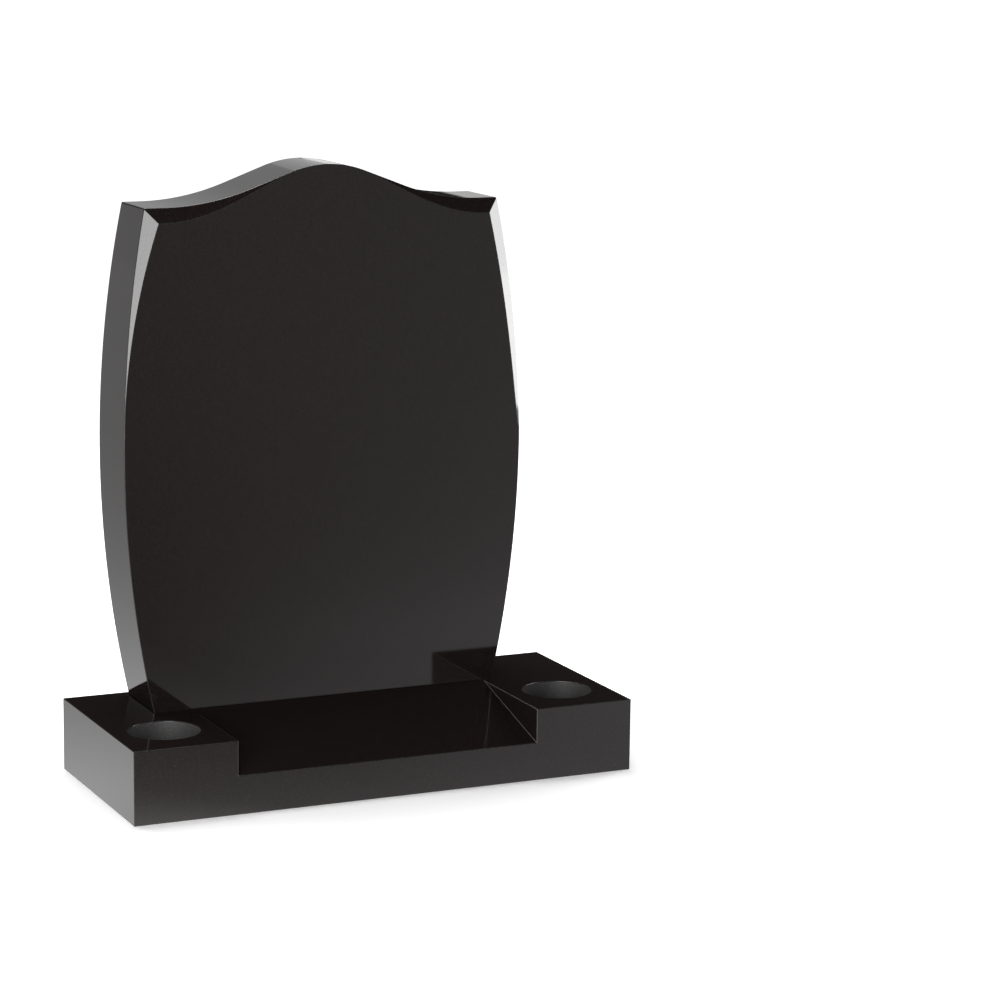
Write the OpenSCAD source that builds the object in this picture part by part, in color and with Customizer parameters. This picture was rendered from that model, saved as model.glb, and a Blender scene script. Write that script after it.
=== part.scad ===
// Lawn headstone: an ogee-topped tablet with bowed sides and tapering
// chamfers, standing on a base whose two raised ends are flower blocks.
//
// Frame: +Z up, the front faces -Y, X runs along the base. The origin is on
// the ground under the middle of the base. All sizes are in millimetres.

/* [Base] */
// Length of the base from end to end
base_w = 762; // [680:1:960]
// Depth of the base from front to back
base_d = 318; // [300:1:420]
// Height of the base at its two raised ends
base_h = 106; // [95:1:150]
// Length of each raised end block
block_w = 152; // [130:1:190]
// Height of the low front edge between the blocks
front_h = 56; // [30:1:80]

/* [Flower holes] */
// Diameter of the hole that takes a flower container
flower_hole_d = 102; // [60:1:116]
// Depth of the flower hole below the top of its block
flower_hole_deep = 76; // [50:1:85]

/* [Headstone] */
// Width of the headstone where its sides bow out furthest
stone_w = 612; // [500:1:640]
// Thickness of the headstone from front to back
stone_t = 112; // [90:1:130]
// Height of the two shoulders above the foot of the headstone
shoulder_h = 719; // [600:1:900]
// Height of the widest point above the foot of the headstone
bow_z = 370; // [250:1:450]
// Radius of the bowed sides
bow_r = 1690; // [1500:10:4000]

/* [Crown] */
// Radius of the rounded crown in the middle of the top
crown_r = 160; // [120:1:200]
// Radius of the hollow sweep on each side of the crown
hollow_r = 360; // [250:1:380]
// Slope of the straight run between the crown and the hollows, in degrees
sweep_angle = 20.5; // [14:0.1:22]
// Length of the level run at each shoulder
shoulder_flat = 26; // [10:1:40]

/* [Chamfers] */
// Width of the chamfers on the front face at the shoulder corners
chamfer_w = 21; // [10:1:30]
// Depth that the chamfers take off the edge at the shoulder corners
chamfer_d = 13; // [6:1:25]
// Length over which each top chamfer fades out towards the crown
chamfer_top_l = 230; // [150:1:245]
// Length over which each side chamfer fades out down the edge
chamfer_side_l = 340; // [150:1:400]
// How the left chamfer fades: 1 is a straight taper, more is a hollow one
chamfer_fade_left = 2; // [0.5:0.1:3]
// How the right chamfer fades: less than 1 is a full taper with a blunt end
chamfer_fade_right = 0.6; // [0.5:0.1:3]
// Width of the fine polished bevel on the remaining edges of the headstone
arris = 2; // [1:0.5:4]

/* [Placing] */
// Distance from the back of the headstone to the back of the base
back_margin = 18; // [5:1:60]
// Distance of the headstone from the middle of the base, minus for the left
stone_shift = -22; // [-30:1:30]
// Level strip between the top of the slope and the foot of the headstone
foot_margin = 3; // [1:1:20]

/* [Hidden] */

// Number of segments in each stretch of the headstone's outline
SIDE_STEPS = 26;
CROWN_STEPS = 16;
HOLLOW_STEPS = 14;
FLAT_STEPS = 3;
// Overlap of each cutter past the face that it opens
CUT = 1;
HOLE_FN = 96;

stone_back_y = base_d / 2 - back_margin;
stone_front_y = stone_back_y - stone_t;
slope_end_y = stone_front_y - foot_margin;
recess_w = base_w - 2 * block_w;
// The flower holes are centred on the part of each block ahead of the stone
hole_x = (base_w - block_w) / 2;
hole_y = (slope_end_y - base_d / 2) / 2;

// Outline of the headstone, measured from the middle of its foot

// Half width of the headstone at height z, a circular bow
function side_x(z) = stone_w / 2 - bow_r + sqrt(pow(bow_r, 2) - pow(z - bow_z, 2));

shoulder_x = side_x(shoulder_h);
crown_x = crown_r * sin(sweep_angle);
hollow_end_x = shoulder_x - shoulder_flat;
hollow_x = hollow_end_x - hollow_r * sin(sweep_angle);
hollow_top = hollow_r * (1 - cos(sweep_angle));
run_rise = (hollow_x - crown_x) * tan(sweep_angle);
crown_rise = hollow_top + run_rise + crown_r * (1 - cos(sweep_angle));

// Height of the top over the shoulders at x: crown, straight run, hollow, flat
function top_rise(x) = let (a = abs(x))
    a <= crown_x ? crown_rise - crown_r + sqrt(pow(crown_r, 2) - pow(a, 2))
    : a <= hollow_x ? hollow_top + (hollow_x - a) * tan(sweep_angle)
    : a <= hollow_end_x
        ? hollow_r - sqrt(pow(hollow_r, 2) - pow(hollow_end_x - a, 2))
    : 0;

// The chamfers' share of their full size: a taper to the given power down the
// sides, and an eased fade along the top
function side_share(t, fade) = pow(1 - t, fade);
function top_share(t) = (1 + cos(180 * t)) / 2;

corner_z = shoulder_h - chamfer_w;
corner_x = side_x(corner_z) - chamfer_w;

// Stations of one side of the outline, from the foot to the shoulder, each as
// [height on the edge, height on the face, share of the full chamfer]
function side_stations(fade) = [
    for (k = [0:SIDE_STEPS])
        let (z = shoulder_h * k / SIDE_STEPS,
             t = min(1, (shoulder_h - z) / chamfer_side_l),
             share = side_share(t, fade))
        [z, z - chamfer_w * share, share]
];

// Stations of half the top, from the shoulder to the crown's middle, by x
function span(a, b, n) = [for (k = [1:n]) a + (b - a) * k / n];
TOP = concat(
    span(shoulder_x, hollow_end_x, FLAT_STEPS),
    span(hollow_end_x, hollow_x, HOLLOW_STEPS),
    span(hollow_x, crown_x, FLAT_STEPS),
    span(crown_x, 0, CROWN_STEPS / 2));

function bevel(full, share) = max(arris, full * share);
function share_at(x) = top_share(min(1, (shoulder_x - x) / chamfer_top_l));

// A ring runs from the left foot over the crown to the right foot
function join(left, right) = let (n = len(left)) concat(
    [for (p = left) [-p[0], p[1], p[2]]],
    [for (k = [n - 2:-1:0]) right[k]]);

function face_half(fade) = concat(
    [for (s = side_stations(fade))
        [side_x(s[1]) - bevel(chamfer_w, s[2]), 0, s[1]]],
    [for (x = TOP)
        let (xi = x * corner_x / shoulder_x)
        [xi, 0, shoulder_h + top_rise(xi) - bevel(chamfer_w, share_at(x))]]);

function edge_half(fade) = concat(
    [for (s = side_stations(fade)) [side_x(s[0]), bevel(chamfer_d, s[2]), s[0]]],
    [for (x = TOP) [x, bevel(chamfer_d, share_at(x)), shoulder_h + top_rise(x)]]);

face_ring = join(face_half(chamfer_fade_left), face_half(chamfer_fade_right));
edge_ring = join(edge_half(chamfer_fade_left), edge_half(chamfer_fade_right));
back_edge_ring = [for (p = edge_ring) [p[0], stone_t - arris, p[2]]];

back_scale_x = (shoulder_x - arris) / shoulder_x;
back_half = concat(
    [for (s = side_stations(1))
        let (z = min(s[0], shoulder_h - arris)) [side_x(z) - arris, stone_t, z]],
    [for (x = TOP)
        let (xi = x * back_scale_x)
        [xi, stone_t, shoulder_h + top_rise(xi) - arris]]);
back_ring = join(back_half, back_half);

// Closed solid through rings of equal length, capped at the first and the
// last ring, and closed below by the rings' ends
module ring_solid(rings) {
    n = len(rings[0]);
    m = len(rings);
    polyhedron(
        points = [for (r = rings) each r],
        faces = concat(
            [[for (k = [0:n - 1]) k]],
            [[for (k = [n - 1:-1:0]) (m - 1) * n + k]],
            [concat([for (j = [m - 1:-1:0]) j * n],
                    [for (j = [0:m - 1]) j * n + n - 1])],
            [for (j = [0:m - 2], k = [0:n - 2])
                each [[j * n + k, (j + 1) * n + k, (j + 1) * n + k + 1],
                      [j * n + k, (j + 1) * n + k + 1, j * n + k + 1]]]));
}

// Wedge above the slope: it rises from the low front edge to the full height
module slope_cutter() {
    rotate([90, 0, 90])
        translate([0, 0, -recess_w / 2])
            linear_extrude(recess_w)
                polygon([
                    [-base_d / 2 - CUT, front_h],
                    [-base_d / 2, front_h],
                    [slope_end_y, base_h],
                    [slope_end_y, base_h + CUT],
                    [-base_d / 2 - CUT, base_h + CUT]]);
}

module flower_hole(side) {
    translate([side * hole_x, hole_y, base_h - flower_hole_deep])
        cylinder(d = flower_hole_d, h = flower_hole_deep + CUT, $fn = HOLE_FN);
}

// Base: one block of granite with a sloping middle between two flower blocks
module base() {
    color([0.13, 0.12, 0.12])
        difference() {
            translate([-base_w / 2, -base_d / 2, 0])
                cube([base_w, base_d, base_h]);
            slope_cutter();
            for (side = [-1, 1]) flower_hole(side);
        }
}

// Headstone: one slab of granite that stands on the base by its own weight
module headstone() {
    color([0.09, 0.085, 0.085])
        translate([stone_shift, stone_front_y, base_h])
            ring_solid([face_ring, edge_ring, back_edge_ring, back_ring]);
}

base();
headstone();
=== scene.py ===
"""Looks of a lawn headstone of polished black granite on its two-block base.

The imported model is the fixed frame.  The two pieces built here, one slab and
one base, lie inside their solids' boxes and stand for them.  Each is a closed
shell of numpy surfaces with finely rounded arrises.  Lengths are in metres,
+Z is up and the polished face of the headstone looks to -Y.
"""

import logging
import math
from dataclasses import dataclass, field
from enum import Enum

import bpy
import bmesh
import numpy as np
from mathutils import Matrix, Vector


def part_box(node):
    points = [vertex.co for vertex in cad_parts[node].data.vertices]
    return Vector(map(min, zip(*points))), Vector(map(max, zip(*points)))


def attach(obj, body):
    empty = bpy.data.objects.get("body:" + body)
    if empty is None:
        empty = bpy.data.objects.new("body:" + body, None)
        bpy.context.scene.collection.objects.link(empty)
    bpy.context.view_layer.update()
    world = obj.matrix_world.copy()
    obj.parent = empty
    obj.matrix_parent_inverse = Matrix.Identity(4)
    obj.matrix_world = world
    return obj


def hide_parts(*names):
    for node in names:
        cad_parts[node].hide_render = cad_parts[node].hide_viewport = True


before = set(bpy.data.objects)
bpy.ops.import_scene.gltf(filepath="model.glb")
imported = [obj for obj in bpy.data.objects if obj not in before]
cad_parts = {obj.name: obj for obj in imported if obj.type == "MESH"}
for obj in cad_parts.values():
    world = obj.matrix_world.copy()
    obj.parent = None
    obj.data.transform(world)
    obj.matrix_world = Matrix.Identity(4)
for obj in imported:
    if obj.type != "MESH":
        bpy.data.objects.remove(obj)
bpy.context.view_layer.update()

LOG = logging.getLogger("headstone")
TAU = 2.0 * math.pi

# Edges that turn by more than this stay crisp; the arrises turn by less a step
CRISP_ANGLE = math.radians(13.0)
# Points closer than this are one point of the shell
WELD = 1.0e-7
# Neutral: a face bends the smoothed normals by its area alone
EVEN_WEIGHT = 50

Place = tuple[float, float, float]
Colour = tuple[float, float, float]
Span = tuple[float, float]
Lines = tuple[np.ndarray, np.ndarray, np.ndarray, np.ndarray]
Socket = bpy.types.NodeSocket
Input = bpy.types.NodeSocket | float | tuple[float, ...]


class Finish(Enum):
    """The ways in which a face of the granite is left, and their slot order."""

    POLISHED = 0
    ARRIS = 1
    SAWN = 2
    DRILLED = 3
    # HONED: a rougher honed gloss, and a lighter grey that is painted highlight
    HONED = 4


class Side(Enum):
    """The two ends of the memorial, as seen from the front."""

    LEFT = -1
    RIGHT = 1


# --------------------------------------------------------------------------
# Lines and surfaces
# --------------------------------------------------------------------------


def quarter_turn(steps: int) -> tuple[np.ndarray, np.ndarray]:
    """Quarter circle (1 - sin a, 1 - cos a), for equal steps of a to a right angle."""
    a = np.linspace(0.0, TAU / 4.0, steps + 1)
    return 1.0 - np.sin(a), 1.0 - np.cos(a)


def rounded_corner(
    start: np.ndarray, corner: np.ndarray, end: np.ndarray, steps: int
) -> np.ndarray:
    """Rounds a corner with a parabola that is tangent to both of its arms.

    The point at t is (1-t)^2 start + 2t(1-t) corner + t^2 end, and t follows
    sin a / (sin a + cos a), so that the line turns by about the same angle in
    every step.

    Args:
        start: points where the rounding leaves the first arm, shape (..., 3).
        corner: the sharp corners, same shape.
        end: points where it meets the second arm, same shape.
        steps: number of segments.

    Returns:
        Points of shape (steps + 1, ..., 3).
    """
    a = np.linspace(0.0, TAU / 4.0, steps + 1)
    t = np.sin(a) / (np.sin(a) + np.cos(a))
    t = t.reshape((-1,) + (1,) * start.ndim)
    return (1 - t) ** 2 * start + 2 * t * (1 - t) * corner + t**2 * end


def unit(v: np.ndarray) -> np.ndarray:
    """Vectors scaled to length 1 along the last axis."""
    return v / np.linalg.norm(v, axis=-1, keepdims=True)


def straight(start: np.ndarray, end: np.ndarray, steps: int) -> np.ndarray:
    """Points from start to end in equal steps: start + (end - start) k / steps."""
    t = np.linspace(0.0, 1.0, steps + 1).reshape((-1,) + (1,) * start.ndim)
    return start + (end - start) * t


def coons_patch(
    bottom: np.ndarray, top: np.ndarray, left: np.ndarray, right: np.ndarray
) -> np.ndarray:
    """Fills four boundary lines with a Coons patch.

    P(u, v) = (1-v) bottom(u) + v top(u) + (1-u) left(v) + u right(v), less the
    bilinear blend of the four corners.

    Args:
        bottom: points from left to right, shape (n, 3).
        top: points from left to right, shape (n, 3).
        left: points from bottom to top, shape (m, 3).
        right: points from bottom to top, shape (m, 3).

    Returns:
        Grid of points, shape (m, n, 3).
    """
    u = np.linspace(0.0, 1.0, len(bottom))[None, :, None]
    v = np.linspace(0.0, 1.0, len(left))[:, None, None]
    corners = (
        (1 - u) * (1 - v) * bottom[0]
        + u * (1 - v) * bottom[-1]
        + (1 - u) * v * top[0]
        + u * v * top[-1]
    )
    return (
        (1 - v) * bottom[None] + v * top[None] + (1 - u) * left[:, None]
        + u * right[:, None] - corners
    )


def grid_quads(rows: int, columns: int) -> np.ndarray:
    """Numbers the corners of the quads between the points of a grid.

    Args:
        rows: number of rows of points.
        columns: number of points in a row.

    Returns:
        Point numbers, counted along the rows, shape (n, 4).
    """
    index = np.arange(rows * columns).reshape(rows, columns)
    quads = (index[:-1, :-1], index[1:, :-1], index[1:, 1:], index[:-1, 1:])
    return np.stack(quads, axis=-1).reshape(-1, 4)


@dataclass
class Shell:
    """A closed surface gathered from grids of points, welded where they meet.

    quad_finish and outline_finish hold the Finish values of quads and outlines,
    and count is the number of points gathered so far.
    """

    points: list[np.ndarray] = field(default_factory=list)
    quads: list[np.ndarray] = field(default_factory=list)
    outlines: list[np.ndarray] = field(default_factory=list)
    quad_finish: list[np.ndarray] = field(default_factory=list)
    outline_finish: list[int] = field(default_factory=list)
    count: int = 0

    def grid(self, points: np.ndarray, finish: Finish) -> None:
        """Adds the quads of a grid of points.

        Args:
            points: grid of shape (rows, columns, 3).
            finish: how these faces are left.
        """
        quads = self.count + grid_quads(*points.shape[:2])
        self.points.append(points.reshape(-1, 3))
        self.quads.append(quads)
        self.quad_finish.append(np.full(len(quads), finish.value))
        self.count += points.shape[0] * points.shape[1]

    def outline(self, points: np.ndarray, finish: Finish) -> None:
        """Adds one flat face.

        Args:
            points: its outline, shape (n, 3).
            finish: how the face is left.
        """
        self.points.append(points)
        self.outlines.append(self.count + np.arange(len(points)))
        self.outline_finish.append(finish.value)
        self.count += len(points)

    def to_object(self, name: str, materials: list[bpy.types.Material]) -> bpy.types.Object:
        """Welds the grids into one closed mesh with its faces outwards.

        Args:
            name: name of the piece.
            materials: one material for each Finish, in its order.

        Returns:
            The new object, at the origin and linked to the scene.
        """
        points = np.concatenate(self.points)
        keys = np.round(points / WELD).astype(np.int64)
        _, first, place = np.unique(keys, axis=0, return_index=True, return_inverse=True)
        place = place.reshape(-1)
        quads = place[np.concatenate(self.quads)]
        finish = np.concatenate(self.quad_finish)

        # A quad whose neighbouring corners fell together is a triangle or nothing
        same = quads == np.roll(quads, -1, axis=1)
        crossed = (quads[:, 0] == quads[:, 2]) | (quads[:, 1] == quads[:, 3])
        whole = ~same.any(axis=1) & ~crossed
        faces = [quads[whole].ravel()]
        sizes = [np.full(whole.sum(), 4)]
        slots = [finish[whole]]
        for k in range(4):
            thin = same[:, k] & (same.sum(axis=1) == 1) & ~crossed
            corner = quads[thin][:, [(k + 1) % 4, (k + 2) % 4, (k + 3) % 4]]
            faces.append(corner.ravel())
            sizes.append(np.full(len(corner), 3))
            slots.append(finish[thin])
        for ring, slot in zip(self.outlines, self.outline_finish):
            loop = place[ring]
            loop = loop[loop != np.roll(loop, 1)]
            faces.append(loop)
            sizes.append(np.array([len(loop)]))
            slots.append(np.array([slot]))
        corners, sizes = np.concatenate(faces), np.concatenate(sizes)

        mesh = bpy.data.meshes.new(name)
        mesh.vertices.add(len(first))
        mesh.vertices.foreach_set("co", points[first].astype(np.float32).ravel())
        mesh.loops.add(len(corners))
        mesh.loops.foreach_set("vertex_index", corners.astype(np.int32))
        mesh.polygons.add(len(sizes))
        starts = np.cumsum(sizes) - sizes
        mesh.polygons.foreach_set("loop_start", starts.astype(np.int32))
        for material in materials:
            mesh.materials.append(material)
        mesh.polygons.foreach_set("material_index", np.concatenate(slots).astype(np.int32))
        mesh.update(calc_edges=True)
        mesh.validate()

        work = bmesh.new()
        work.from_mesh(mesh)
        loose = [v for v in work.verts if not v.link_faces]
        bmesh.ops.delete(work, geom=loose, context="VERTS")
        bmesh.ops.recalc_face_normals(work, faces=work.faces)
        work.to_mesh(mesh)
        work.free()
        mesh.shade_smooth()
        mesh.set_sharp_from_angle(angle=CRISP_ANGLE)

        piece = bpy.data.objects.new(name, mesh)
        bpy.context.scene.collection.objects.link(piece)
        weighted = piece.modifiers.new("flat_faces_stay_flat", "WEIGHTED_NORMAL")
        weighted.mode = "FACE_AREA"
        weighted.weight = EVEN_WEIGHT
        weighted.keep_sharp = True
        LOG.info("%s: %d points, %d faces", name, len(mesh.vertices), len(mesh.polygons))
        return piece


# --------------------------------------------------------------------------
# Headstone
# --------------------------------------------------------------------------


@dataclass
class Headstone:
    """The ogee-topped slab with bowed sides and tapering front chamfers.

    A crease or an edge takes up no more than share_of_run of the chamfer that
    lies between them.
    """

    bow_z: float = 0.370
    bow_r: float = 1.690
    crown_r: float = 0.160
    hollow_r: float = 0.360
    sweep: float = math.radians(20.5)
    shoulder_flat: float = 0.026
    chamfer_w: float = 0.021
    chamfer_d: float = 0.013
    chamfer_top_l: float = 0.230
    chamfer_side_l: float = 0.340
    fade_left: float = 2.0
    fade_right: float = 0.6
    front_arris: float = 0.0007
    back_arris: float = 0.002
    foot_arris: float = 0.0007
    crease: float = 0.0009
    edge_round: float = 0.0011
    share_of_run: float = 0.42
    corner_round: float = 0.0022
    side_steps: int = 90
    top_steps: int = 150
    round_steps: int = 6
    corner_steps: int = 8
    chamfer_steps: int = 4
    thickness_steps: int = 12
    settling_turns: int = 8

    def __post_init__(self) -> None:
        """Takes the slab's place and overall size from the frame."""
        low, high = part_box("headstone")
        self.middle_x = (low.x + high.x) / 2
        self.half_w = (high.x - low.x) / 2
        self.front_y = low.y
        self.back_y = high.y
        self.foot_z = low.z
        self.height = high.z - low.z
        rise_in_arcs = self.crown_r * (1 - math.cos(self.sweep))
        self.hollow_top = self.hollow_r * (1 - math.cos(self.sweep))
        self.crown_x = self.crown_r * math.sin(self.sweep)
        # The crown's rise sets the shoulders' height, which sets the rise again, so
        # both are worked out in turn until they agree
        self.shoulder_h = self.height
        for _ in range(self.settling_turns):
            self.shoulder_x = self.half_width(self.shoulder_h)
            self.hollow_end_x = self.shoulder_x - self.shoulder_flat
            self.hollow_x = self.hollow_end_x - self.hollow_r * math.sin(self.sweep)
            run_rise = (self.hollow_x - self.crown_x) * math.tan(self.sweep)
            self.crown_rise = self.hollow_top + run_rise + rise_in_arcs
            self.shoulder_h = self.height - self.crown_rise
        self.foot_x = self.half_width(0.0)
        # The mitre of the two chamfers at a shoulder ends here on the face
        self.mitre_z = self.shoulder_h - self.chamfer_w
        self.mitre_x = self.half_width(self.mitre_z) - self.chamfer_w

    def side_x(self, z: np.ndarray) -> np.ndarray:
        """Half width at height z: a circular bow of radius bow_r about bow_z."""
        return self.half_w - self.bow_r + np.sqrt(self.bow_r**2 - (z - self.bow_z) ** 2)

    def half_width(self, z: float) -> float:
        """Half width at one height."""
        return float(self.side_x(np.array(z)))

    def top_z(self, x: np.ndarray) -> np.ndarray:
        """Height of the top: crown arc, straight run, hollow arc, level run.

        With a = |x| the crown is sqrt(crown_r^2 - a^2), the run falls by
        tan(sweep), and the hollow is -sqrt(hollow_r^2 - (hollow_end_x - a)^2).

        Args:
            x: distances from the middle, of any shape.

        Returns:
            Heights above the foot, same shape.
        """
        a = np.abs(x)
        crown = self.crown_rise - self.crown_r + np.sqrt(
            np.maximum(self.crown_r**2 - a**2, 0.0)
        )
        run = self.hollow_top + (self.hollow_x - a) * math.tan(self.sweep)
        hollow = self.hollow_r - np.sqrt(
            np.maximum(self.hollow_r**2 - (self.hollow_end_x - a) ** 2, 0.0)
        )
        rise = np.select(
            [a <= self.crown_x, a <= self.hollow_x, a <= self.hollow_end_x],
            [crown, run, hollow],
            0.0,
        )
        return self.shoulder_h + rise

    def side_share(self, z: np.ndarray, side: Side) -> np.ndarray:
        """Share of the full chamfer at height z: (1 - t) to the side's own power."""
        t = np.clip((self.shoulder_h - z) / self.chamfer_side_l, 0, 1)
        return (1 - t) ** (self.fade_left if side is Side.LEFT else self.fade_right)

    def top_share(self, x: np.ndarray) -> np.ndarray:
        """Share of the full chamfer at x: an eased fade, (1 + cos(pi t)) / 2."""
        t = np.clip((self.shoulder_x - np.abs(x)) / self.chamfer_top_l, 0, 1)
        return (1 + np.cos(t * TAU / 2)) / 2

    def side_lines(self, side: Side) -> Lines:
        """A side of the outline as it would stand on the right, foot to shoulder.

        Args:
            side: the side whose fade it has.

        Returns:
            Points on the edge and on the face, inward normals, chamfer depths.
        """
        reach = self.corner_round
        z = np.linspace(reach, self.shoulder_h - reach, self.side_steps)
        share = self.side_share(z, side)
        zero = np.zeros_like(z)
        edge = np.stack((self.side_x(z), zero, z), axis=-1)
        z_in = np.maximum(z - self.chamfer_w * share, self.foot_arris)
        x_in = self.side_x(z_in) - np.maximum(self.front_arris, self.chamfer_w * share)
        face = np.stack((x_in, zero, z_in), axis=-1)
        centre_x = self.half_w - self.bow_r
        inward = unit(np.stack((centre_x - edge[:, 0], zero, self.bow_z - z), axis=-1))
        depth = np.maximum(self.front_arris, self.chamfer_d * share)
        return edge, face, inward, depth

    def top_lines(self) -> Lines:
        """The top from the right shoulder over the crown to the left shoulder.

        Returns:
            Points on the edge and on the face, inward normals, chamfer depths.
        """
        reach = self.shoulder_x - self.corner_round
        x = np.linspace(reach, -reach, self.top_steps)
        share = self.top_share(x)
        zero = np.zeros_like(x)
        edge = np.stack((x, zero, self.top_z(x)), axis=-1)
        x_in = x * self.mitre_x / self.shoulder_x
        z_in = self.top_z(x_in) - np.maximum(self.front_arris, self.chamfer_w * share)
        face = np.stack((x_in, zero, z_in), axis=-1)
        slope = np.gradient(edge[:, 2], edge[:, 0])
        inward = unit(np.stack((slope, zero, -np.ones_like(x)), axis=-1))
        depth = np.maximum(self.front_arris, self.chamfer_d * share)
        return edge, face, inward, depth

    def foot_lines(self) -> Lines:
        """The foot from left to right, with the same number of points as the top.

        Returns:
            Points on the edge and on the face, inward normals, arris depths.
        """
        reach = self.foot_x - self.corner_round
        x = np.linspace(-reach, reach, self.top_steps)
        zero = np.zeros_like(x)
        edge = np.stack((x, zero, zero), axis=-1)
        x_in = x * (self.foot_x - self.front_arris) / self.foot_x
        face = np.stack((x_in, zero, zero + self.foot_arris), axis=-1)
        inward = np.stack((zero, zero, zero + 1.0), axis=-1)
        return edge, face, inward, zero + self.foot_arris

    def corner_lines(
        self, before: Lines, after: Lines, corner: np.ndarray, face: np.ndarray
    ) -> Lines:
        """A finely rounded corner of the outline between two of its lines.

        On the face all of its points fall together in the mitre's end, and the
        inward vector is the mitre (n1 + n2) / (1 + n1.n2) of both normals.

        Args:
            before: lines that end at the corner, as side_lines gives them.
            after: lines that start at the corner.
            corner: the sharp corner of the edge, shape (3,).
            face: the mitre's end on the face, shape (3,).

        Returns:
            Points on the edge and on the face, inward vectors, chamfer depths.
        """
        bend = rounded_corner(before[0][-1], corner, after[0][0], self.corner_steps)[1:-1]
        n1, n2 = before[2][-1], after[2][0]
        mitre = (n1 + n2) / (1 + n1 @ n2)
        repeat = np.ones((len(bend), 1))
        depth = np.linspace(before[3][-1], after[3][0], len(bend) + 2)[1:-1]
        return bend, repeat * face, repeat * mitre, depth

    def loop(self) -> dict[str, Lines]:
        """The closed outline, anticlockwise from the front.

        Returns:
            Lines as side_lines gives them, by the names of the stretches.
        """
        side, top, foot = self.side_lines(Side.RIGHT), self.top_lines(), self.foot_lines()
        flip = np.array([-1.0, 1.0, 1.0])
        left = tuple(
            part[::-1] * flip if part.ndim == 2 else part[::-1]
            for part in self.side_lines(Side.LEFT)
        )
        toe_in_x = self.half_width(self.foot_arris) - self.front_arris
        shoulder = np.array([self.shoulder_x, 0.0, self.shoulder_h])
        shoulder_in = np.array([self.mitre_x, 0.0, self.mitre_z])
        toe = np.array([self.foot_x, 0.0, 0.0])
        toe_in = np.array([toe_in_x, 0.0, self.foot_arris])
        return {
            "foot": foot,
            "right_toe": self.corner_lines(foot, side, toe, toe_in),
            "right": side,
            "right_shoulder": self.corner_lines(side, top, shoulder, shoulder_in),
            "top": top,
            "left_shoulder": self.corner_lines(top, left, shoulder * flip, shoulder_in * flip),
            "left": left,
            "left_toe": self.corner_lines(left, foot, toe * flip, toe_in * flip),
        }

    def rings(self, lines: Lines, sharp: np.ndarray) -> list[np.ndarray]:
        """Carries a stretch of the outline from the face to the back.

        The section is the face, a softened crease, the chamfer, a rounded edge,
        the side and a rounded back arris.

        Args:
            lines: a stretch of the outline, as side_lines gives it.
            sharp: the stretch's edge points, or at a corner the sharp corner.

        Returns:
            The crease, chamfer, edge, side and back arris, each as a grid of
            shape (rows, points, 3) that starts where the last one ended.
        """
        edge, face, inward, depth = lines
        back = np.array([0.0, 1.0, 0.0])
        outer = edge + back * depth[:, None]
        run = np.linalg.norm(outer - face, axis=-1, keepdims=True)
        # All of a corner's points end in one point of the face, so they need one
        # rounding there, and the shortest run between face and edge sets it
        if sharp.ndim == 1:
            run = np.full_like(run, run.min())
        crease = np.minimum(self.crease, self.share_of_run * run)
        soft = np.minimum(self.edge_round, self.share_of_run * run)
        into_face = unit((face - sharp) * np.array([1.0, 0.0, 1.0]))
        down_chamfer = unit(outer - face)
        rounded_crease = rounded_corner(
            face + into_face * crease, face, face + down_chamfer * crease, self.round_steps
        )
        rounded_edge = rounded_corner(
            outer - down_chamfer * soft, outer, outer + back * soft, self.round_steps
        )
        thick = self.back_y - self.front_y
        far = edge + back * thick
        flat_back = sharp + back * thick + inward * self.back_arris
        rounded_back = rounded_corner(
            far - back * self.back_arris, far, flat_back, self.corner_steps
        )
        chamfer = straight(rounded_crease[-1], rounded_edge[0], self.chamfer_steps)
        side = straight(rounded_edge[-1], rounded_back[0], self.thickness_steps)
        return [rounded_crease, chamfer, rounded_edge, side, rounded_back]

    def build(self, materials: list[bpy.types.Material]) -> bpy.types.Object:
        """Builds the slab as one closed piece.

        Args:
            materials: one material for each Finish.

        Returns:
            The headstone, standing where its CAD node stands.
        """
        loop = self.loop()
        names = list(loop)
        grids: dict[str, list[np.ndarray]] = {}
        for name in names:
            lines = loop[name]
            is_corner = name.endswith(("toe", "shoulder"))
            sharp = self.sharp_corner(name) if is_corner else lines[0]
            grids[name] = self.rings(lines, sharp)

        shell = Shell()
        place = np.array([self.middle_x, self.front_y, self.foot_z])
        # Crease, chamfer, edge, side and back arris, as rings gives them
        finishes = [Finish.ARRIS, Finish.POLISHED, Finish.ARRIS, Finish.POLISHED, Finish.ARRIS]
        side_band = 3
        for band, finish in enumerate(finishes):
            for name, following in zip(names, names[1:] + names[:1]):
                ahead = grids[following][band][:, :1]
                strip = np.concatenate((grids[name][band], ahead), axis=1)
                under = name == "foot" and band == side_band
                shell.grid(strip + place, Finish.SAWN if under else finish)
        for row, band in ((0, 0), (-1, -1)):
            line = {name: grids[name][band][row] for name in names}
            shell.grid(self.cap(line) + place, Finish.POLISHED)
        piece = shell.to_object("headstone_slab", materials)
        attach(piece, "root")
        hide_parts("headstone")
        return piece

    def sharp_corner(self, name: str) -> np.ndarray:
        """The sharp corner of the edge line at a shoulder or toe.

        Args:
            name: the corner's stretch of the outline, such as "left_toe".

        Returns:
            The corner, shape (3,).
        """
        side = Side.RIGHT if name.startswith("right") else Side.LEFT
        z = self.shoulder_h if name.endswith("shoulder") else 0.0
        return np.array([side.value * self.half_width(z), 0.0, z])

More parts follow.
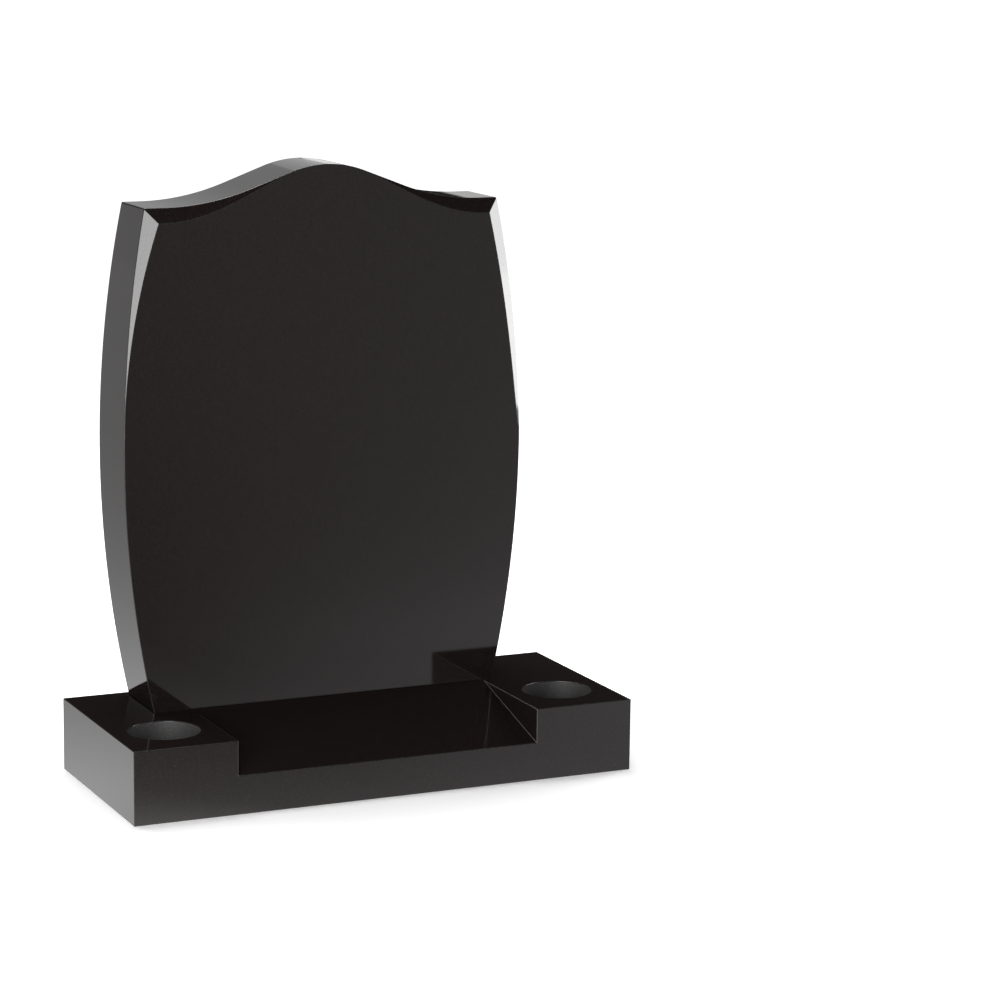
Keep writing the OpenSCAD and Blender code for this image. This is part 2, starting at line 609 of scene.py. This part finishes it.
    def cap(self, line: dict[str, np.ndarray]) -> np.ndarray:
        """Fills the front or back outline, whose corners are single points.

        Args:
            line: the ring's points by the names of the outline's stretches.

        Returns:
            Grid of points of the flat face, shape (rows, columns, 3).
        """
        toe_l, toe_r = line["left_toe"][:1], line["right_toe"][:1]
        top_r, top_l = line["right_shoulder"][:1], line["left_shoulder"][:1]
        bottom = np.concatenate((toe_l, line["foot"], toe_r))
        top = np.concatenate((top_l, line["top"][::-1], top_r))
        left = np.concatenate((toe_l, line["left"][::-1], top_l))
        right = np.concatenate((toe_r, line["right"], top_r))
        return coons_patch(bottom, top, left, right)


# --------------------------------------------------------------------------
# Base
# --------------------------------------------------------------------------


@dataclass
class Base:
    """The base: a sloping middle between two flower blocks, cut from one block.

    floor_ring is the share of a hole's radius where its floor has its ring.
    """

    block_w: float = 0.152
    front_h: float = 0.056
    foot_margin: float = 0.003
    hole_r: float = 0.051
    hole_deep: float = 0.076
    arris: float = 0.0010
    inner_round: float = 0.0009
    rim_round: float = 0.0010
    round_steps: int = 8
    block_steps: int = 16
    slope_steps: int = 22
    plain_points: int = 8
    outer_steps: int = 6
    wall_steps: int = 4
    middle_steps: int = 10
    top_steps: int = 10
    lining_points: int = 20
    floor_ring: float = 0.6

    def __post_init__(self) -> None:
        """Takes the base's place and overall size from the frame."""
        low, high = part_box("base")
        stone_low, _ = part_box("headstone")
        self.half_w = high.x
        self.front_y = low.y
        self.back_y = high.y
        self.height = high.z
        self.inner_x = self.half_w - self.block_w
        self.slope_end_y = stone_low.y - self.foot_margin
        self.hole_x = self.half_w - self.block_w / 2
        self.hole_y = (self.front_y + self.slope_end_y) / 2

    def slope_z(self, y: float) -> float:
        """Height of the sloping middle at depth y, level with the blocks behind."""
        share = (y - self.front_y) / (self.slope_end_y - self.front_y)
        return self.front_h + (self.height - self.front_h) * min(share, 1.0)

    def stations(self) -> list[tuple[float, float]]:
        """Depths of the section's rings and their insets at the two arrises.

        Returns:
            (y, inset) from the front to the back: quarter circles at both ends,
            closer together where the inner edges run out at the slope's end.
        """
        inset, depth = quarter_turn(self.round_steps)
        front = [
            (self.front_y + d * self.arris, i * self.arris) for i, d in zip(inset, depth)
        ]
        t = np.linspace(0.0, 1.0, self.slope_steps + 1)[1:]
        start = self.front_y + self.arris
        eased = start + (self.slope_end_y - start) * (1 - (1 - t) ** 2)
        slope = [(float(y), 0.0) for y in eased]
        behind = np.linspace(
            self.slope_end_y, self.back_y - self.arris, self.plain_points
        )[1:]
        plain = [(float(y), 0.0) for y in behind]
        back = [
            (self.back_y - d * self.arris, i * self.arris)
            for i, d in zip(inset[::-1][1:], depth[::-1][1:])
        ]
        return front + slope + plain + back

    def corner_arc(
        self, x: float, z: float, radius: float, start_deg: float, turn: int
    ) -> np.ndarray:
        """Quarter circle (x + radius cos a, z + radius sin a), anticlockwise for turn 1."""
        a = math.radians(start_deg) + turn * np.linspace(0.0, TAU / 4, self.round_steps + 1)
        return np.stack((x + radius * np.cos(a), z + radius * np.sin(a)), axis=-1)

    def section(self, y: float, inset: float) -> dict[str, np.ndarray]:
        """The right half of the base's section at one depth, as named stretches.

        Every outer corner is a quarter circle about a fixed centre, so that an
        inset only shortens its radius, and the corner between wall and slope is
        a quarter circle about a centre in the open, which an inset lengthens.

        Args:
            y: depth of the section.
            inset: how far its outline is drawn in, at the front and back arris.

        Returns:
            Points (x, y, z) by stretch, from the middle of the underside round
            the right end and down the wall to the middle of the slope.
        """
        r, x1, x0, h = self.arris, self.half_w, self.inner_x, self.height
        floor_z = self.slope_z(y)
        wall = h - floor_z
        edge = min(r, wall / 2)
        hollow = min(self.inner_round, wall / 2)
        tight = max(r - inset, 0.0)
        lower = self.corner_arc(x1 - r, r, tight, -90.0, 1)
        upper = self.corner_arc(x1 - r, h - r, tight, 0.0, 1)
        inner = self.corner_arc(x0 + edge, h - edge, max(edge - inset, 0.0), 90.0, 1)
        root = self.corner_arc(x0 - hollow, floor_z + hollow, hollow + inset, 0.0, -1)
        if wall <= 0.0:
            inner[:] = root[:] = (x0, h - inset)
        start = np.array([0.0, lower[0, 1]])
        finish = np.array([0.0, root[-1, 1]])
        parts = {
            "under": straight(start, lower[0], self.outer_steps),
            "lower": lower,
            "end": straight(lower[-1], upper[0], self.outer_steps),
            "upper": upper,
            "block": straight(upper[-1], inner[0], self.block_steps),
            "inner": inner,
            "wall": straight(inner[-1], root[0], self.wall_steps),
            "root": root,
            "slope": straight(root[-1], finish, self.middle_steps),
        }
        return {
            name: np.stack((p[:, 0], np.full(len(p), y), p[:, 1]), axis=-1)
            for name, p in parts.items()
        }

    def block_top(self, top: np.ndarray, side: Side) -> tuple[np.ndarray, np.ndarray]:
        """Fills a block's top round its flower hole, and lines the hole.

        The top blends in straight lines from its boundary to the hole's rim, at
        the same angles about the hole's axis.

        Args:
            top: the plain grid of the block's top, shape (rows, columns, 3).
            side: which block it is.

        Returns:
            The ring of the top round the hole, and the hole's lining from the
            rim down to the middle of its floor, each (levels, points, 3).
        """
        border = np.concatenate(
            (top[0, :-1], top[:-1, -1], top[-1, :0:-1], top[::-1, 0])
        )
        centre = np.array([side.value * self.hole_x, self.hole_y])
        a = np.arctan2(border[:, 1] - centre[1], border[:, 0] - centre[0])
        round_in, round_down = quarter_turn(self.round_steps)
        floor_z = self.height - self.hole_deep
        rim = self.hole_r + self.rim_round
        profile = np.concatenate((
            np.stack((
                self.hole_r + self.rim_round * round_in,
                self.height - self.rim_round * round_down,
            ), axis=-1),
            np.stack((
                np.full(self.lining_points, self.hole_r),
                np.linspace(
                    self.height - self.rim_round, floor_z + self.rim_round,
                    self.lining_points,
                ),
            ), axis=-1)[1:],
            np.stack((
                self.hole_r - self.rim_round * round_down[1:],
                floor_z + self.rim_round * round_in[1:],
            ), axis=-1),
            np.array([[self.hole_r * self.floor_ring, floor_z], [0.0, floor_z]]),
        ))
        circle = np.stack((np.cos(a), np.sin(a)), axis=-1)
        edge = np.concatenate(
            (centre + rim * circle, np.full((len(a), 1), self.height)), axis=-1
        )
        ring = straight(border, edge, self.top_steps)
        lining = np.concatenate(
            (
                centre + profile[:, None, :1] * circle[None],
                np.broadcast_to(profile[:, None, 1:], (len(profile), len(a), 1)),
            ),
            axis=-1,
        )
        lining[0] = edge
        return ring, lining

    def build(self, materials: list[bpy.types.Material]) -> bpy.types.Object:
        """Builds the base as one closed piece.

        Args:
            materials: one material for each Finish.

        Returns:
            The base, lying where its CAD node lies.
        """
        stations = self.stations()
        sections = [self.section(y, inset) for y, inset in stations]
        finish = {name: Finish.POLISHED for name in sections[0]}
        finish |= {name: Finish.ARRIS for name in ("lower", "upper")}
        # The notch's inner edge and its hollow joint with the slope take the honed finish,
        # whose lighter grey is painted highlight along them
        finish |= {name: Finish.HONED for name in ("inner", "root")}
        finish["under"] = Finish.SAWN
        notch = ("inner", "wall", "root")
        first = self.round_steps
        last = first + self.slope_steps
        rows = len(stations)
        # The quarter circles at both ends are arrises whatever they round
        spans = [
            (0, first + 1, True),
            (first, rows - self.round_steps, False),
            (rows - self.round_steps - 1, rows, True),
        ]
        shell = Shell()
        for side in Side:
            flip = np.array([side.value, 1.0, 1.0])
            for name in sections[0]:
                whole = np.stack([s[name] for s in sections]) * flip
                # The notch's arrises at the front and back also take the honed finish, whose
                # lighter grey is painted highlight
                edge = Finish.HONED if name in notch else Finish.ARRIS
                for a, b, is_arris in spans:
                    dressed = edge if is_arris else finish[name]
                    if name == "block" and not is_arris:
                        shell.grid(whole[last:b], dressed)
                        ring, lining = self.block_top(whole[first : last + 1], side)
                        shell.grid(ring, dressed)
                        shell.grid(lining[: self.round_steps + 1], Finish.ARRIS)
                        shell.grid(lining[self.round_steps :], Finish.DRILLED)
                        continue
                    shell.grid(whole[a:b], dressed)
            for row in (0, -1):
                half = np.concatenate([sections[row][n] for n in sections[0]]) * flip
                shell.outline(half, Finish.POLISHED)
        piece = shell.to_object("base_block", materials)
        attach(piece, "root")
        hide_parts("base")
        return piece


# --------------------------------------------------------------------------
# Granite
# --------------------------------------------------------------------------


@dataclass(frozen=True)
class Wiring:
    """Adds nodes to a shader tree and joins them up."""

    tree: bpy.types.NodeTree

    def feed(self, socket: Socket, value: Input) -> None:
        """Gives a node's input a value of its own, or links a socket to it.

        Args:
            socket: the input.
            value: a number or colour, or the socket that is linked.
        """
        if isinstance(value, Socket):
            self.tree.links.new(value, socket)
        else:
            socket.default_value = value

    def add(
        self, kind: str, group: bpy.types.NodeTree | None = None, **given: Input
    ) -> bpy.types.Node:
        """Adds a node and feeds its inputs.

        Args:
            kind: the node's type, without ShaderNode.
            group: the node group that a Group node places.
            given: what each named input gets, with _ for a blank.

        Returns:
            The new node.
        """
        node = self.tree.nodes.new("ShaderNode" + kind)
        if group is not None:
            node.node_tree = group
        for name, value in given.items():
            self.feed(node.inputs[name.replace("_", " ")], value)
        return node

    def operate(self, kind: str, operation: str, *values: Input) -> bpy.types.Node:
        """Adds a node that works out one operation.

        Args:
            kind: Math or VectorMath.
            operation: what it does, such as ADD.
            values: what its inputs get, in order.

        Returns:
            The new node.
        """
        node = self.add(kind)
        node.operation = operation
        for socket, value in zip(node.inputs, values):
            self.feed(socket, value)
        return node

    def math(self, operation: str, *values: Input) -> Socket:
        """Works out one operation on numbers."""
        return self.operate("Math", operation, *values).outputs[0]

    def product(self, first: Input, *others: Input) -> Socket:
        """Multiplies numbers in turn.

        Args:
            first: the number that is multiplied.
            others: what it is multiplied by.

        Returns:
            The product.
        """
        for other in others:
            first = self.math("MULTIPLY", first, other)
        return first

    def spread(self, value: Socket, span: Span) -> Socket:
        """Stretches a span onto 0 to 1 with soft ends.

        Args:
            value: the number that is stretched.
            span: where the result is 0 and where it is 1.

        Returns:
            3 t^2 - 2 t^3, for t from 0 to 1 over the span.
        """
        node = self.add("MapRange", Value=value, From_Min=span[0], From_Max=span[1])
        node.interpolation_type = "SMOOTHSTEP"
        return node.outputs["Result"]

    def fade(self, value: Socket, span: Span) -> Socket:
        """Falls from 1 to 0 over a span, as spread rises."""
        return self.math("SUBTRACT", 1.0, self.spread(value, span))

    def mix(self, share: Socket, a: Socket | Colour, b: Socket | Colour) -> Socket:
        """Mixes two colours.

        Args:
            share: how much of b there is, from 0 to 1.
            a, b: the colours, as sockets or as (r, g, b).

        Returns:
            The mixed colour.
        """
        node = self.add("Mix", Factor=share)
        node.data_type = "RGBA"
        for name, colour in (("A", a), ("B", b)):
            socket = next(s for s in node.inputs if s.name == name and s.type == "RGBA")
            self.feed(socket, (*colour, 1.0) if isinstance(colour, tuple) else colour)
        return next(s for s in node.outputs if s.type == "RGBA")


def node_group(
    name: str, inputs: tuple[str, ...], outputs: tuple[str, ...]
) -> tuple[Wiring, bpy.types.Node, bpy.types.Node]:
    """Makes an empty shader node group with named sockets.

    Args:
        name: name of the group.
        inputs: names of the inputs, which are numbers but for Vector.
        outputs: names of the outputs, which are all numbers.

    Returns:
        The group's wiring, its input node and its output node.
    """
    tree = bpy.data.node_groups.new(name, "ShaderNodeTree")
    for label in inputs:
        kind = "NodeSocketVector" if label == "Vector" else "NodeSocketFloat"
        tree.interface.new_socket(label, in_out="INPUT", socket_type=kind)
    for label in outputs:
        tree.interface.new_socket(label, in_out="OUTPUT", socket_type="NodeSocketFloat")
    return Wiring(tree), tree.nodes.new("NodeGroupInput"), tree.nodes.new("NodeGroupOutput")


@dataclass(frozen=True)
class Grain:
    """Crystals of a fine black granite, which all of its finishes share."""

    dust_scale: float = 2.3
    tone_gain: float = 1.9
    fleck_span: Span = (0.955, 0.985)
    core_span: Span = (0.25, 0.55)
    cloud_span: Span = (0.3, 0.7)
    cloud_detail: float = 3.0

    def group(self) -> bpy.types.NodeTree:
        """Builds the crystals' node group.

        Cells of one tone each are the crystals, dusted by a finer noise, a few
        of them are bright flecks in their middles, and a slow noise clouds the
        stone.  Height is the relief of the crystals and the dust.

        Returns:
            The group, which puts out Tone, Fleck, Cloudiness and Height.
        """
        wire, given, out = node_group(
            "granite_grain", ("Vector", "Crystal", "Cloud"),
            ("Tone", "Fleck", "Cloudiness", "Height"),
        )
        where, crystal = given.outputs["Vector"], given.outputs["Crystal"]
        cells = wire.add("TexVoronoi", Vector=where, Scale=crystal)
        split = wire.add("SeparateColor", Color=cells.outputs["Color"])
        fine = wire.product(crystal, self.dust_scale)
        dust = wire.add("TexNoise", Vector=where, Scale=fine).outputs["Fac"]
        cloud = wire.add(
            "TexNoise", Vector=where, Scale=given.outputs["Cloud"], Detail=self.cloud_detail
        )
        bright = wire.spread(split.outputs[1], self.fleck_span)
        core = wire.fade(cells.outputs["Distance"], self.core_span)
        results = {
            "Tone": wire.product(split.outputs[0], dust, self.tone_gain),
            "Fleck": wire.product(bright, core),
            "Cloudiness": wire.spread(cloud.outputs["Fac"], self.cloud_span),
            "Height": wire.math("ADD", split.outputs[2], dust),
        }
        for name, value in results.items():
            wire.feed(out.inputs[name], value)
        return wire.tree


@dataclass(frozen=True)
class ToolMarks:
    """Parallel marks of a saw or a core drill, broken up by noise."""

    drift_scale: float = 22.0
    drift: float = 9.0
    grit_scale: float = 700.0

    def group(self) -> bpy.types.NodeTree:
        """Builds the marks' node group.

        Mark is grit x (1 + sin(along x pitch + drift x slow noise)) / 2.

        Returns:
            The group, which puts out Mark.
        """
        wire, given, out = node_group("tool_marks", ("Along", "Pitch", "Vector"), ("Mark",))
        where = given.outputs["Vector"]
        slow = wire.add("TexNoise", Vector=where, Scale=self.drift_scale).outputs["Fac"]
        phase = wire.product(given.outputs["Along"], given.outputs["Pitch"])
        wave = wire.math("SINE", wire.math("ADD", phase, wire.product(slow, self.drift)))
        grit = wire.add("TexNoise", Vector=where, Scale=self.grit_scale).outputs["Fac"]
        mark = wire.product(wire.math("ADD", wave, 1.0), 0.5, grit)
        wire.feed(out.inputs["Mark"], mark)
        return wire.tree


@dataclass(frozen=True)
class GraniteFinish:
    """One finish of the black granite: its tones, gloss, relief and tool marks."""

    name: str
    dark: Colour
    light: Colour
    fleck: Colour
    rough_low: float
    rough_high: float
    relief: float
    crystal: float = 850.0
    cloud: float = 11.0
    ior: float = 1.55
    bump_depth: float = 0.0002
    marks_along: str = ""
    marks_pitch: float = 0.0
    mark_tone: float = 0.6
    mark_relief: float = 4.0

    def material(
        self, grain: bpy.types.NodeTree, marks: bpy.types.NodeTree
    ) -> bpy.types.Material:
        """Builds the material from the shared node groups.

        Args:
            grain: the crystals' node group.
            marks: the tool marks' node group.

        Returns:
            The new material.
        """
        material = bpy.data.materials.new(self.name)
        material.use_nodes = True
        wire = Wiring(material.node_tree)
        where = wire.add("TexCoord").outputs["Object"]
        stone = wire.add(
            "Group", grain, Vector=where, Crystal=self.crystal, Cloud=self.cloud
        ).outputs
        body = wire.mix(stone["Tone"], self.dark, self.light)
        colour = wire.mix(stone["Fleck"], body, self.fleck)
        height = stone["Height"]
        if self.marks_along:
            split = wire.add("SeparateXYZ", Vector=where)
            mark = wire.add(
                "Group", marks, Along=split.outputs[self.marks_along],
                Pitch=self.marks_pitch, Vector=where,
            ).outputs["Mark"]
            colour = wire.mix(wire.product(mark, self.mark_tone), colour, self.fleck)
            height = wire.math("ADD", height, wire.product(mark, self.mark_relief))
        # Roughness follows the mean of the crystals' tone and the clouds
        uneven = wire.math(
            "ADD", wire.product(stone["Tone"], 0.5), wire.product(stone["Cloudiness"], 0.5)
        )
        reach = self.rough_high - self.rough_low
        rough = wire.math("ADD", wire.product(uneven, reach), self.rough_low)
        bump = wire.add("Bump", Strength=self.relief, Distance=self.bump_depth, Height=height)
        shader = wire.tree.nodes["Principled BSDF"]
        shader.inputs["IOR"].default_value = self.ior
        wire.feed(shader.inputs["Base Color"], colour)
        wire.feed(shader.inputs["Roughness"], rough)
        wire.feed(shader.inputs["Normal"], bump.outputs["Normal"])
        return material


FINISHES = {
    Finish.POLISHED: GraniteFinish(
        "polished_black_granite", (0.0082, 0.0054, 0.0052), (0.0170, 0.0128, 0.0120),
        (0.040, 0.035, 0.036), 0.045, 0.085, 0.010),
    Finish.ARRIS: GraniteFinish(
        "polished_granite_arris", (0.014, 0.013, 0.0125), (0.034, 0.032, 0.031),
        (0.085, 0.080, 0.077), 0.15, 0.24, 0.030),
    Finish.SAWN: GraniteFinish(
        "sawn_granite", (0.085, 0.082, 0.080), (0.150, 0.145, 0.142),
        (0.230, 0.225, 0.220), 0.62, 0.80, 0.45,
        marks_along="Y", marks_pitch=1400.0),
    Finish.DRILLED: GraniteFinish(
        "core_drilled_granite", (0.034, 0.032, 0.032), (0.070, 0.067, 0.066),
        (0.130, 0.126, 0.124), 0.48, 0.66, 0.35,
        marks_along="Z", marks_pitch=2600.0),
    # Honed is rougher than polish, and its lighter grey is painted highlight on the base's
    # notch edges and joint
    Finish.HONED: GraniteFinish(
        "honed_edge_with_painted_highlight", (0.045, 0.044, 0.043), (0.095, 0.093, 0.092),
        (0.150, 0.147, 0.145), 0.34, 0.50, 0.20),
}


# --------------------------------------------------------------------------
# Studio
# --------------------------------------------------------------------------


@dataclass(frozen=True)
class Softbox:
    """A soft light: a glowing panel that the camera doesn't see."""

    name: str
    centre: Place
    aim: Place
    width: float
    height: float
    glow: float

    def build(self) -> None:
        """Adds the light; glow is its radiance, so power is glow x pi x area."""
        data = bpy.data.lights.new(self.name, "AREA")
        data.shape = "RECTANGLE"
        data.size = self.width
        data.size_y = self.height
        data.energy = self.glow * math.pi * self.width * self.height
        lamp = bpy.data.objects.new(self.name, data)
        look = Vector(self.aim) - Vector(self.centre)
        lamp.location = self.centre
        lamp.rotation_euler = look.to_track_quat("-Z", "Y").to_euler()
        lamp.visible_camera = False
        bpy.context.scene.collection.objects.link(lamp)


@dataclass(frozen=True)
class FloorGlow:
    """How one half of the floor glows: near exp(-r / reach) + edge + slant x / r."""

    near: float
    reach: float
    edge: float
    slant: float

    def fall(self, wire: Wiring, far: Socket) -> Socket:
        """The part that falls off with distance r, near exp(-r / reach)."""
        shrunk = wire.math("EXPONENT", wire.math("DIVIDE", far, -self.reach))
        return wire.product(shrunk, self.near)


@dataclass
class Studio:
    """The pale floor, the soft lights and the camera.

    Angles are in radians and the lens is in millimetres.  slant_grows bounds the
    slant's growth by distance, and slant_fades its end toward the back.
    bright_span and left_span bound the back left's share toward bright_way and
    toward the left, and fill_span the camera's fill by distance.
    """

    azimuth: float = math.radians(25.18)
    elevation: float = math.radians(10.91)
    roll: float = math.radians(0.753)
    aim: Place = (0.2400, 0.0, 0.3836)
    distance: float = 4.734
    lens: float = 115.95
    clip_end: float = 200.0
    floor_r: float = 60.0
    floor_rings: int = 40
    floor_sides: int = 96
    paper: Colour = (0.86, 0.86, 0.86)
    white: Colour = (1.0, 1.0, 1.0)
    bright_way: Place = (-0.62, 0.78, 0.0)
    front_glow: FloorGlow = FloorGlow(0.95, 0.45, 0.02, 0.68)
    left_glow: FloorGlow = FloorGlow(1.16, 0.55, 0.44, 0.0)
    squeeze: Place = (0.45, 1.0, 1.0)
    slant_grows: Span = (0.0, 0.9)
    slant_fades: Span = (0.3, 0.8)
    bright_span: Span = (-0.3, 0.5)
    left_span: Span = (-0.45, 0.0)
    camera_glow: float = 0.28
    fill_span: Span = (0.15, 0.70)
    fill: float = 0.84
    sky_up: Span = (0.04, 0.14)
    sky_across: Span = (-0.2, 0.3)
    sky_band: float = 0.40
    sky_dark: float = 0.010
    softboxes: tuple[Softbox, ...] = (
        Softbox("softbox_over", (-0.3, 1.1, 3.4), (0.0, 0.0, 0.0), 2.2, 2.2, 7.0),
        Softbox("softbox_front_left", (-1.5, -1.85, 0.76), (-0.3, 0.0, 0.76), 1.3, 1.48, 8.1),
        Softbox("softbox_left", (-2.8, -0.9, 0.70), (-0.3, 0.0, 0.6), 1.3, 1.2, 1.2),
        Softbox("softbox_right", (0.90, 0.0, 0.69), (0.28, 0.0, 0.69), 0.34, 0.46, 9.4),
        Softbox("softbox_back_left", (-0.05, 1.5, 1.14), (-0.05, 0.0, 1.14), 0.70, 0.56, 0.42),
        Softbox("softbox_back", (0.40, 1.5, 1.14), (0.40, 0.0, 1.14), 0.20, 0.56, 0.58),
        Softbox("softbox_back_right", (0.63, 1.5, 1.22), (0.63, 0.0, 1.22), 0.26, 0.40, 0.62),
        Softbox("softbox_low_right", (0.64, 1.5, 0.93), (0.64, 0.0, 0.93), 0.24, 0.18, 1.02),
        Softbox("softbox_far_right", (0.99, 1.5, 1.01), (0.99, 0.0, 1.01), 0.46, 0.22, 0.66),
    )

    def camera(self) -> None:
        """Adds the camera, which looks at aim from azimuth and elevation."""
        az, el = self.azimuth, self.elevation
        look = Vector((math.sin(az) * math.cos(el), math.cos(az) * math.cos(el), -math.sin(el)))
        level = Vector((math.cos(az), -math.sin(az), 0.0))
        over = level.cross(look)
        right = math.cos(self.roll) * level + math.sin(self.roll) * over
        up = -math.sin(self.roll) * level + math.cos(self.roll) * over
        data = bpy.data.cameras.new("camera")
        data.lens = self.lens
        data.clip_end = self.clip_end
        camera = bpy.data.objects.new("camera", data)
        turn = Matrix((right, up, -look)).transposed().to_4x4()
        camera.matrix_world = Matrix.Translation(Vector(self.aim) - look * self.distance) @ turn
        bpy.context.scene.collection.objects.link(camera)
        bpy.context.scene.camera = camera

    def floor(self) -> None:
        """Adds a wide round floor: rings of radius floor_r t^3 about the object."""
        t = np.linspace(0.0, 1.0, self.floor_rings)[:, None] ** 3
        a = np.linspace(0.0, TAU, self.floor_sides + 1)[None, :]
        rings = np.stack(
            (self.floor_r * t * np.cos(a), self.floor_r * t * np.sin(a), 0.0 * t * a), axis=-1
        )
        mesh = bpy.data.meshes.new("studio_floor")
        quads = grid_quads(*rings.shape[:2])
        mesh.from_pydata(rings.reshape(-1, 3).tolist(), [], quads.tolist())
        mesh.materials.append(self.floor_material())
        floor = bpy.data.objects.new("studio_floor", mesh)
        bpy.context.scene.collection.objects.link(floor)

    def floor_material(self) -> bpy.types.Material:
        """Makes the floor's material.

        Returns:
            Matt pale paper to the camera, and a soft glow in the stone's gloss.
        """
        material = bpy.data.materials.new("pale_floor")
        material.use_nodes = True
        wire = Wiring(material.node_tree)
        in_gloss, to_camera = self.floor_glows(wire)
        paper = wire.tree.nodes["Principled BSDF"]
        for name, value in {
            "Base Color": (*self.paper, 1.0),
            "Roughness": 1.0,
            "Specular IOR Level": 0.0,
            "Emission Color": (*self.white, 1.0),
            "Emission Strength": to_camera,
        }.items():
            wire.feed(paper.inputs[name], value)
        glow = wire.add("Emission", Strength=in_gloss)
        seen = wire.add("LightPath").outputs["Is Camera Ray"]
        mixed = wire.add("MixShader")
        for socket, value in zip(mixed.inputs, (seen, glow.outputs[0], paper.outputs[0])):
            wire.feed(socket, value)
        wire.feed(wire.tree.nodes["Material Output"].inputs["Surface"], mixed.outputs[0])
        return material

    def floor_glows(self, wire: Wiring) -> tuple[Socket, Socket]:
        """Two glows of the floor, by distance r and direction from the middle.

        r is the length of the place times squeeze, so the glow is drawn out
        along X, and the share toward a direction is their dot product over r.
        In the gloss of the stone the front glows by near exp(-r / reach) + edge
        + slant x / r, where the slant grows with r and fades out toward the
        back.  The back left, into which it blends, has its own numbers and no
        slant.  To the camera the floor only fills in what the lights don't
        reach, and more so further out.

        Args:
            wire: the wiring of the floor's material.

        Returns:
            The glow in the gloss and the glow to the camera.
        """
        where = wire.add("TexCoord").outputs["Object"]
        drawn = wire.operate("VectorMath", "MULTIPLY", where, self.squeeze).outputs["Vector"]
        far = wire.operate("VectorMath", "LENGTH", drawn).outputs["Value"]

        def toward(way: Place) -> Socket:
            """Share of the distance that lies toward a direction."""
            dot = wire.operate("VectorMath", "DOT_PRODUCT", where, way)
            return wire.math("DIVIDE", dot.outputs["Value"], far)

        slant = wire.product(
            wire.math("MAXIMUM", toward((1.0, 0.0, 0.0)), 0.0),
            wire.spread(far, self.slant_grows),
            self.front_glow.slant,
            wire.fade(toward((0.0, 1.0, 0.0)), self.slant_fades),
        )
        front = wire.math(
            "ADD", self.front_glow.fall(wire, far),
            wire.math("ADD", slant, self.front_glow.edge),
        )
        left = wire.math("ADD", self.left_glow.fall(wire, far), self.left_glow.edge)
        share = wire.product(
            wire.spread(toward(self.bright_way), self.bright_span),
            wire.spread(toward((-1.0, 0.0, 0.0)), self.left_span),
        )
        rest = wire.product(front, wire.math("SUBTRACT", 1.0, share))
        in_gloss = wire.math("ADD", rest, wire.product(left, share))
        plain = wire.product(wire.spread(far, self.fill_span), self.fill)
        return in_gloss, wire.math("ADD", plain, self.camera_glow)

    def sky(self) -> None:
        """Sets the surroundings: white to the camera, dark in the stone's gloss.

        In the gloss only a low band on the left is lighter, which falls off
        over sky_up in height and over sky_across toward the right.
        """
        world = bpy.data.worlds.new("studio")
        world.use_nodes = True
        wire = Wiring(world.node_tree)
        split = wire.add("SeparateXYZ", Vector=wire.add("TexCoord").outputs["Generated"])
        band = wire.product(
            wire.fade(split.outputs["Z"], self.sky_up),
            wire.fade(split.outputs["X"], self.sky_across),
            self.sky_band,
        )
        gloss = wire.math("ADD", band, self.sky_dark)
        seen = wire.add("LightPath").outputs["Is Camera Ray"]
        surroundings = wire.tree.nodes["Background"]
        wire.feed(surroundings.inputs["Strength"], wire.math("MAXIMUM", seen, gloss))
        wire.feed(surroundings.inputs["Color"], (*self.white, 1.0))
        bpy.context.scene.world = world

    def build(self) -> None:
        """Builds the whole studio, and has colours shown as they are."""
        bpy.context.scene.view_settings.view_transform = "Standard"
        self.camera()
        self.floor()
        self.sky()
        for softbox in self.softboxes:
            softbox.build()


def main() -> None:
    """Builds the studio and the two pieces, and reports each one."""
    logging.basicConfig(level=logging.INFO, format="%(name)s: %(message)s")
    Studio().build()
    grain, marks = Grain().group(), ToolMarks().group()
    materials = [FINISHES[finish].material(grain, marks) for finish in Finish]
    for part in (Base(), Headstone()):
        piece = part.build(materials)
        LOG.info("built %s", piece.name)


if __name__ == "__main__":
    main()
